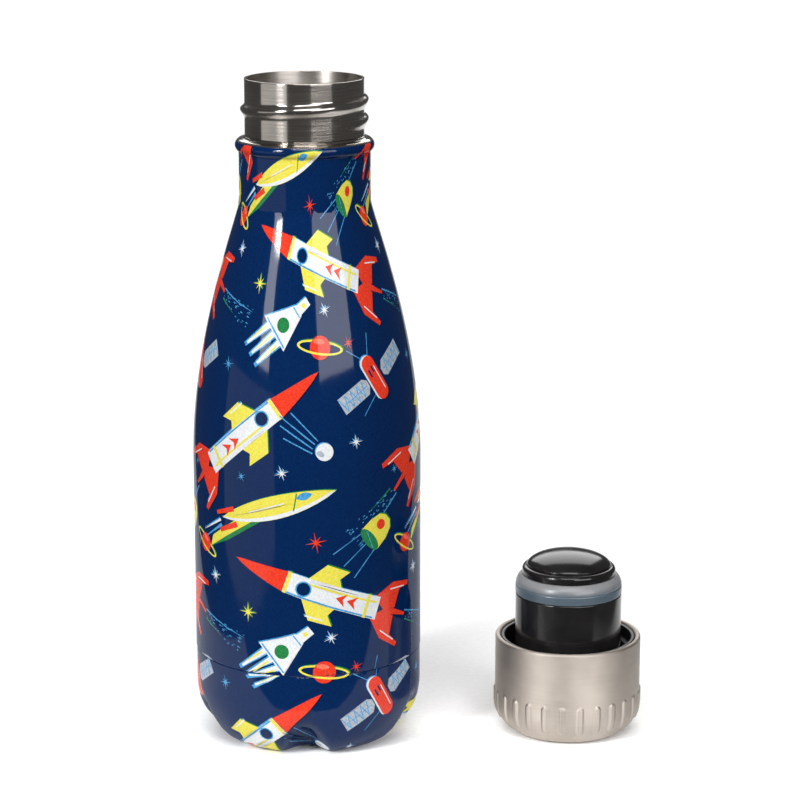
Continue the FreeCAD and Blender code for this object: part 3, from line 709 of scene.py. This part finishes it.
dress("heat_foil", plain_metal("crinkled_aluminium_foil", "#B9BBBD", "#DADBDC", 0.22, 0.004, 0.00012))
dress("getter_clip", plain_metal("spring_steel_strip", "#7C7A78", "#98948F", 0.32, 0.0012, 0.000006))
dress("seal_cover", plain_metal("stamped_steel_cover", "#9C9894", "#BDB9B4", 0.28, 0.0016, 0.000006))
pill, tree, shader = new_material("sintered_getter_powder", Roughness=0.9)
grit = object_noise(tree, 1 / 0.00035, 4.0)
tree.links.new(two_tones(tree, grit.outputs["Fac"], "#3C3A38", "#6A6764"), shader.inputs["Base Color"])
bump = add(tree, "ShaderNodeBump", {"Height": grit.outputs["Fac"], "Strength": 0.8, "Distance": 0.00004})
tree.links.new(bump.outputs["Normal"], shader.inputs["Normal"])
dress("getter_pill", pill)
glass, tree, shader = new_material("fused_solder_glass", Roughness=0.12)
swirl = object_noise(tree, 1 / 0.0018, 2.0)
tree.links.new(two_tones(tree, swirl.outputs["Fac"], "#4A4230", "#7A6E50"), shader.inputs["Base Color"])
dress("vacuum_seal", glass)


# ---- Cap cup -----------------------------------------------------------------------------
# The stopper's stainless steel cup, standing on its flat end beside the bottle. It is deep
# drawn, its edge rolled in over a bead, its grip ribs pressed out from inside. Belt-brushed
# round, so that it shows broad soft streaks of light.

CAP_X = round(500 * (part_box("cap_shell")[0].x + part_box("cap_shell")[1].x), 2)
CUP_H = round(1000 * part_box("cap_shell")[1].z, 2)
CUP_R = 21.05
CUP_WALL = 0.5
CUP_CORNER_W, CUP_CORNER_H = 7.05, 9.0
HEM_R = 0.75
RIBS, RIB_W, RIB_PROUD = 26, 2.3, 0.4
RIB_LOW, RIB_HIGH = 3.9, 12.6
RIB_COLUMNS = 28                  # facets round the cup to each rib
CORNER_ROWS, RIB_ROWS = 50, 22    # rows up the cup's corner, and from there to the ribs' ends


def beside(angle, r, z):
    """Point round the stopper's own axis, where it stands."""
    return around(angle, r, z) + (CAP_X, 0, 0)


def quarter(r0, z0, r1, z1, steps):
    """Quarter of an ellipse from the flat end's edge (r0, z0) to the side's foot (r1, z1)."""
    t = np.linspace(0, math.pi / 2, steps)
    return np.stack([r0 + (r1 - r0) * np.sin(t), z1 - (z1 - z0) * np.cos(t)], -1)


hem_turn = np.linspace(0, 2 * math.pi - math.acos((HEM_R - CUP_WALL) / HEM_R), 20)
hem = np.stack([CUP_R - HEM_R + HEM_R * np.cos(hem_turn), CUP_H - HEM_R + HEM_R * np.sin(hem_turn)], -1)
cup_out = np.concatenate([[(0, 0), (7, 0)], quarter(CUP_R - CUP_CORNER_W, 0, CUP_R, CUP_CORNER_H, CORNER_ROWS),
                          np.stack([np.full(RIB_ROWS, CUP_R),
                                    np.linspace(CUP_CORNER_H + 0.2, RIB_HIGH + 0.2, RIB_ROWS)], -1),
                          np.stack([np.full(6, CUP_R), np.linspace(15, CUP_H - HEM_R - 0.6, 6)], -1), hem])
cup_in = np.concatenate([np.stack([np.full(4, CUP_R - CUP_WALL), np.linspace(22, CUP_CORNER_H + 1, 4)], -1),
                         quarter(CUP_R - CUP_CORNER_W, CUP_WALL, CUP_R - CUP_WALL, CUP_CORNER_H, 12)[::-1],
                         [(7, CUP_WALL), (0, CUP_WALL)]])
angles = np.linspace(-math.pi, math.pi, RIBS * RIB_COLUMNS, endpoint=False)
step = np.diff(cup_out, axis=0)
run = np.concatenate([[0], np.cumsum(np.linalg.norm(step, axis=1))])
ribbed = slice(2, 2 + CORNER_ROWS + RIB_ROWS)
low_run, high_run = np.interp((RIB_LOW, RIB_HIGH), cup_out[ribbed, 1], run[ribbed])
across = ((angles * RIBS / (2 * math.pi)) % 1 - 0.5) * (2 * math.pi / RIBS) * cup_out[:, :1]
beyond = np.maximum(np.maximum(low_run + RIB_W / 2 - run, run - high_run + RIB_W / 2), 0)[:, None]
rise = np.clip((RIB_W / 2 + 0.1 - np.hypot(across, beyond)) / 0.75, 0, 1)
rise = RIB_PROUD * rise ** 2 * (3 - 2 * rise) * (cup_out[:, 1:] < RIB_HIGH + 2)
slope = np.gradient(cup_out, axis=0)
slope /= np.linalg.norm(slope, axis=1, keepdims=True)
out_r = cup_out[:, :1] + rise * slope[:, 1:]
out_z = cup_out[:, 1:] - rise * slope[:, :1]
out_r[:2] = cup_out[:2, :1]
grid = np.concatenate([beside(angles[None, :], out_r, out_z),
                       beside(angles[None, :], cup_in[:, :1], cup_in[:, 1:])])
SATIN_STEEL = brushed_steel("satin_stainless_steel", "#A39B93", "#BDB4AB", 0.58, 0.6, 0.0007,
                            (0.05, 0.05, 6), 0.000003)
cup = new_piece("cap_cup", grid.reshape(-1, 3), lattice_tris(len(grid), len(angles)),
                lattice_normals(grid), [SATIN_STEEL])
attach(cup, "cap")
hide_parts("cap_shell")


# ---- Cap liner ---------------------------------------------------------------------------
# A black polypropylene thread liner, injection moulded and glued into the cup.

LINER_R, LINER_BORE_R = 20.45, 18.3
LINER_LOW, LINER_FLOOR, LINER_EDGE = 9.3, 10.8, 26.6
LINER_LIP_R, LINER_LIP = 19.35, 27.9   # the lip that fills the cup's mouth inside the hem
LINER_HOLE_R = 15.45
LINER_RIDGE_H = 1.2
LINER_THREAD_Z = 24.39            # the ridge's outer end, towards the mouth
LINER_FLANK = 1.05                # how far each flank of the ridge runs out


def soft_profile(corners, gap=3.0, steps=6):
    """Half section from (radius, height, fillet) corners taken in turn: each fillet is an arc
    tangent to both of its sides, and long sides are cut to runs of at most the gap."""
    line = []
    for k, (r, z, fillet) in enumerate(corners):
        here = np.array((r, z), float)
        back, ahead = np.array(corners[k - 1][:2]) - here, np.array(corners[(k + 1) % len(corners)][:2]) - here
        back, ahead = back / np.linalg.norm(back), ahead / np.linalg.norm(ahead)
        if fillet == 0:
            line.append(here)
            continue
        half = math.acos(np.clip(back @ ahead, -1, 1)) / 2
        middle = (back + ahead) / np.linalg.norm(back + ahead)
        centre = here + middle * fillet / math.sin(half)
        first, last = here + back * fillet / math.tan(half) - centre, here + ahead * fillet / math.tan(half) - centre
        turn = math.pi - 2 * half
        for t in np.linspace(0, 1, steps):
            line.append(centre + (first * math.sin((1 - t) * turn) + last * math.sin(t * turn)) / math.sin(turn))
    filled = []
    for k, here in enumerate(line):
        ahead = line[(k + 1) % len(line)]
        count = max(1, math.ceil(np.linalg.norm(ahead - here) / gap))
        filled += [here + (ahead - here) * t / count for t in range(count)]
    return np.array(filled)


def turned_ring(name, corners, materials, columns=160, gap=3.0, shape=None):
    """Closed ring turned from a half section about the stopper's axis; shape may move its
    radii, given the angles and the section."""
    section = soft_profile(corners, gap)
    angles = np.linspace(-math.pi, math.pi, columns, endpoint=False)
    r = section[:, :1] + (0 if shape is None else shape(angles[None, :], section[:, :1], section[:, 1:]))
    grid = beside(angles[None, :], r + 0 * angles[None, :], section[:, 1:])
    return new_piece(name, grid.reshape(-1, 3), lattice_tris(len(grid), columns, True),
                     lattice_normals(grid, True), materials)


def liner_thread(angle, r, z):
    """The liner's ridge stands inwards from its bore, half a pitch from the neck's ridge."""
    ridge = rolled_thread(-angle, -z, math.radians(-170), -LINER_THREAD_Z, 1.0, PITCH, LINER_FLANK, LINER_FLANK)
    return -LINER_RIDGE_H * ridge * (np.abs(r - LINER_BORE_R) < 0.01)


def moulded(name, dark, light, rough, texture, depth, shine=0.5):
    """Injection-moulded polymer: a spark-eroded mould leaves a fine even grain that dulls it."""
    material, tree, shader = new_material(name, Specular_IOR_Level=shine)
    grain = object_noise(tree, 1 / texture, 3.0)
    cloud = object_noise(tree, 1 / 0.008, 2.0)
    tree.links.new(two_tones(tree, cloud.outputs["Fac"], dark, light), shader.inputs["Base Color"])
    span = add(tree, "ShaderNodeMapRange", {"Value": cloud.outputs["Fac"], "From Min": 0.3, "From Max": 0.7,
                                            "To Min": rough * 0.85, "To Max": rough * 1.2})
    tree.links.new(span.outputs[0], shader.inputs["Roughness"])
    bump = add(tree, "ShaderNodeBump", {"Height": grain.outputs["Fac"], "Strength": 0.5, "Distance": depth})
    tree.links.new(bump.outputs["Normal"], shader.inputs["Normal"])
    return material


LINER_BLACK = moulded("moulded_black_polypropylene", "#131214", "#1C1B1D", 0.42, 0.0002, 0.00001)
liner = turned_ring("cap_liner_moulded",
                    [(LINER_HOLE_R, LINER_LOW, 0.2), (LINER_R, LINER_LOW, 0.4), (LINER_R, LINER_EDGE, 0.3),
                     (LINER_LIP_R, LINER_EDGE, 0.2), (LINER_LIP_R, LINER_LIP, 0.3), (LINER_BORE_R, LINER_LIP, 0.4),
                     (LINER_BORE_R, LINER_FLOOR, 0.6), (LINER_HOLE_R, LINER_FLOOR, 0.3)],
                    [LINER_BLACK], 180, 0.25, liner_thread)
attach(liner, "cap")
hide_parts("cap_liner")


# ---- Plug --------------------------------------------------------------------------------
# A black moulded tube packed with foam, which turns freely in the liner, and the glossy domed
# end that is welded into it over the seal.

PLUG_R, PLUG_BORE_R = 15.35, 13.85
PLUG_LOW, PLUG_TOP = 1.8, 41.0
FLANGE_LOW, FLANGE_TOP, FLANGE_R = 7.7, 9.2, 17.15
GLOSS_PLUG = moulded("gloss_moulded_black_polypropylene", "#131212", "#1A1919", 0.16, 0.0008, 0.000003, 0.32)
plug = turned_ring("plug_moulded",
                   [(PLUG_BORE_R, PLUG_LOW, 0.2), (PLUG_R, PLUG_LOW, 0.3), (PLUG_R, FLANGE_LOW, 0.2),
                    (FLANGE_R, FLANGE_LOW, 0.3), (FLANGE_R, FLANGE_TOP, 0.3), (PLUG_R, FLANGE_TOP, 0.2),
                    (PLUG_R, PLUG_TOP, 0.5), (PLUG_BORE_R, PLUG_TOP, 0.2)], [GLOSS_PLUG])
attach(plug, "plug")
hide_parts("plug_tube")

SEAL_TOP = 46.5
END_TOP, DOME_EDGE_Z, DOME_R, END_R, STEM_R = 53.1, 49.0, 11.7, 13.5, 12.4
SPIGOT_R, SPIGOT_LOW = 13.75, 37.0
END_WALL = 1.4
DOME_WIDE, DOME_HIGH = 12.4, 4.6  # half axes of the ellipse that the dome is turned from
END_ROUND = 1.2                   # the rounded brim that the dome sits in
ball = (DOME_R ** 2 + (END_TOP - DOME_EDGE_Z) ** 2) / (2 * (END_TOP - DOME_EDGE_Z))
turn = np.linspace(0, math.radians(78), 30)
dome = np.stack([DOME_WIDE * np.sin(turn), END_TOP - DOME_HIGH * (1 - np.cos(turn))], -1)
shelf = np.linspace(math.radians(-20), math.pi / 2, 12)
brim = np.stack([END_R - END_ROUND + END_ROUND * np.sin(shelf),
                 DOME_EDGE_Z - END_ROUND + END_ROUND * np.cos(shelf)], -1)
in_r = np.linspace(DOME_R - END_WALL, 0, 16)
bowl = np.stack([in_r, END_TOP - ball + np.sqrt((ball - END_WALL) ** 2 - in_r ** 2)], -1)
profile = np.concatenate([dome, brim, [(END_R, SEAL_TOP + 0.12), (END_R - 0.12, SEAL_TOP),
                                       (STEM_R, SEAL_TOP), (STEM_R, PLUG_TOP), (SPIGOT_R, PLUG_TOP),
                                       (SPIGOT_R, SPIGOT_LOW), (DOME_R - END_WALL, SPIGOT_LOW)], bowl])
angles = np.linspace(-math.pi, math.pi, 160, endpoint=False)
grid = beside(angles[None, :], profile[:, :1], profile[:, 1:])
end = new_piece("plug_end_moulded", grid.reshape(-1, 3), lattice_tris(len(grid), 160),
                lattice_normals(grid), [GLOSS_PLUG])
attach(end, "plug")
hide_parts("plug_end")


# ---- Seal --------------------------------------------------------------------------------
# A band of pale translucent silicone with a fine parting line, held between the plug and its end. Its upper lip is
# coloured paler and warmer than the band, as painted light from above.

SEAL_R, SEAL_NOSE_R, SEAL_BAND_Z = 15.4, 13.8, 43.6
rise = SEAL_TOP - SEAL_BAND_Z
nose = bezier((SEAL_R - 0.05, SEAL_BAND_Z), (SEAL_R - 0.1, SEAL_BAND_Z + rise / 3),
              (SEAL_NOSE_R + rise / 3, SEAL_TOP - rise / 4), (SEAL_NOSE_R, SEAL_TOP), 12)
band = [(STEM_R, SEAL_TOP), (STEM_R, PLUG_TOP), (SEAL_R - 0.25, PLUG_TOP), (SEAL_R - 0.07, PLUG_TOP + 0.07),
        (SEAL_R, PLUG_TOP + 0.25), (SEAL_R, SEAL_BAND_Z - 0.5), (SEAL_R - 0.1, SEAL_BAND_Z - 0.2),
        (SEAL_R - 0.28, SEAL_BAND_Z - 0.1)]
profile = np.concatenate([band, nose[1:-1], [(SEAL_NOSE_R + 0.1, SEAL_TOP - 0.05), (SEAL_NOSE_R, SEAL_TOP)]])
grid = beside(angles[None, :], profile[:, :1], profile[:, 1:])
silicone, tree, shader = new_material("moulded_translucent_silicone", Roughness=0.3, Subsurface_Weight=0.4,
                                      Subsurface_Radius=(0.8, 0.9, 1.0), Subsurface_Scale=0.001, IOR=1.41)
bloom = object_noise(tree, 1 / 0.006, 1.0)
place = add(tree, "ShaderNodeTexCoord")
height = add(tree, "ShaderNodeSeparateXYZ", {"Vector": place.outputs["Object"]})
# Painted light: the colour runs from bluish grey to a paler, warmer grey up the seal's height, for the light that
# falls on its upper lip.
painted_top_light = add(tree, "ShaderNodeMapRange", {"Value": height.outputs["Z"], "From Min": 0.0432, "From Max": 0.0458})
mottle_and_painted_top_light = add(tree, "ShaderNodeMath", {0: bloom.outputs["Fac"], 1: 0.3, 2: painted_top_light.outputs["Result"]},
             operation="MULTIPLY_ADD")
seal_tone_with_painted_top_light = two_tones(tree, mottle_and_painted_top_light.outputs["Value"], "#45515B", "#77787A", 0.15, 0.95)
tree.links.new(seal_tone_with_painted_top_light, shader.inputs["Base Color"])
grain = object_noise(tree, 1 / 0.0002, 2.0)
bump = add(tree, "ShaderNodeBump", {"Height": grain.outputs["Fac"], "Strength": 0.4, "Distance": 0.00001})
tree.links.new(bump.outputs["Normal"], shader.inputs["Normal"])
seal = new_piece("seal_band", grid.reshape(-1, 3), lattice_tris(len(grid), 160, True),
                 lattice_normals(grid, True), [silicone])
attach(seal, "plug")
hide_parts("seal_ring")


# ---- Foam --------------------------------------------------------------------------------
# Expanded polystyrene in the plug and under the cup's flat end keeps the stopper warm. Its fused 2 mm beads show as
# cells with sunken borders, and each cell is coloured darker towards its border as painted shade.

foam, tree, shader = new_material("expanded_polystyrene", Roughness=0.75, Subsurface_Weight=0.3,
                                  Subsurface_Radius=(1.0, 1.0, 1.0), Subsurface_Scale=0.001)
place = add(tree, "ShaderNodeTexCoord")
cells = add(tree, "ShaderNodeTexVoronoi", {"Vector": place.outputs["Object"], "Scale": 1 / 0.002},
            feature="DISTANCE_TO_EDGE")
# Painted shade: each cell's colour darkens towards its sunken border.
bead_tone_with_painted_border_shade = two_tones(tree, cells.outputs["Distance"], "#D3D2CC", "#F0EFEB", 0.0, 0.12)
tree.links.new(bead_tone_with_painted_border_shade, shader.inputs["Base Color"])
bump = add(tree, "ShaderNodeBump", {"Height": cells.outputs["Distance"], "Strength": 0.7, "Distance": 0.0001})
tree.links.new(bump.outputs["Normal"], shader.inputs["Normal"])
for node in ("top_foam", "foam_core", "foam_disc_screw", "foam_disc_swing"):
    dress(node, foam)


# ---- Studio ------------------------------------------------------------------------------
# A pale table top that widens away from the camera, in a dim room: with no table beside or
# before it, the lacquer stays dark. Soft boxes light it, and a low strip lifts the neck.
# Lamps: power in W, width and height in m, azimuth and elevation in degrees, distance in m.

def sheet(name, material, corners):
    """Flat four-cornered sheet of the studio."""
    mesh = bpy.data.meshes.new(name)
    mesh.from_pydata(corners, [], [(0, 1, 2, 3)])
    mesh.materials.append(material)
    made = bpy.data.objects.new(name, mesh)
    bpy.context.scene.collection.objects.link(made)
    return made


paper, tree, shader = new_material("matt_white_paper", Roughness=0.85)
fibre = object_noise(tree, 1 / 0.0015, 3.0)
tree.links.new(two_tones(tree, fibre.outputs["Fac"], "#F6F6F6", "#FCFCFC"), shader.inputs["Base Color"])
sheet("table_top", paper, [(-0.12, -0.07, 0), (0.17, -0.07, 0), (0.95, 4.5, 0), (-0.9, 4.5, 0)])


def lamp(name, power, size_x, size_y, azimuth, elevation, distance, aim=(0.0, 0.0, 0.1)):
    """Rectangular soft box; azimuth is from the front towards +X, in degrees."""
    data = bpy.data.lights.new(name, "AREA")
    data.energy, data.shape, data.size, data.size_y = power, "RECTANGLE", size_x, size_y
    made = bpy.data.objects.new(name, data)
    a, e = math.radians(azimuth), math.radians(elevation)
    towards = Vector((math.sin(a) * math.cos(e), -math.cos(a) * math.cos(e), math.sin(e)))
    made.location = Vector(aim) + distance * towards
    made.rotation_mode = "QUATERNION"
    made.rotation_quaternion = (made.location - Vector(aim)).to_track_quat("Z", "Y")
    bpy.context.scene.collection.objects.link(made)
    return made


lamp("front_box", 30, 1.4, 1.0, 4, 52, 2.2)
lamp("back_box", 85, 3.0, 2.6, 180, 48, 2.9, (0, 1.0, 0))
lamp("key_box", 10.5, 0.2, 0.25, -42, 28, 1.3)
lamp("key_glow", 6.0, 0.28, 0.62, -45, 20, 1.32)
lamp("left_strip", 1.6, 1.3, 0.5, -60, -8, 1.2)
lamp("fill_box", 19, 1.15, 0.75, 35, 20, 1.6)

world = bpy.data.worlds.new("studio")
bpy.context.scene.world = world
world.use_nodes = True
world.node_tree.nodes["Background"].inputs["Color"].default_value = (1, 1, 1, 1)
world.node_tree.nodes["Background"].inputs["Strength"].default_value = 0.1

camera = bpy.data.cameras.new("camera")
camera.lens, camera.sensor_width = 124.2, 36
camera_object = bpy.data.objects.new("camera", camera)
camera_object.location = (0.0266, -0.766, 0.278)
camera_object.rotation_euler = (math.radians(90 - 13.24), 0, 0)
bpy.context.scene.collection.objects.link(camera_object)
bpy.context.scene.camera = camera_object
bpy.context.scene.view_settings.view_transform = "Standard"
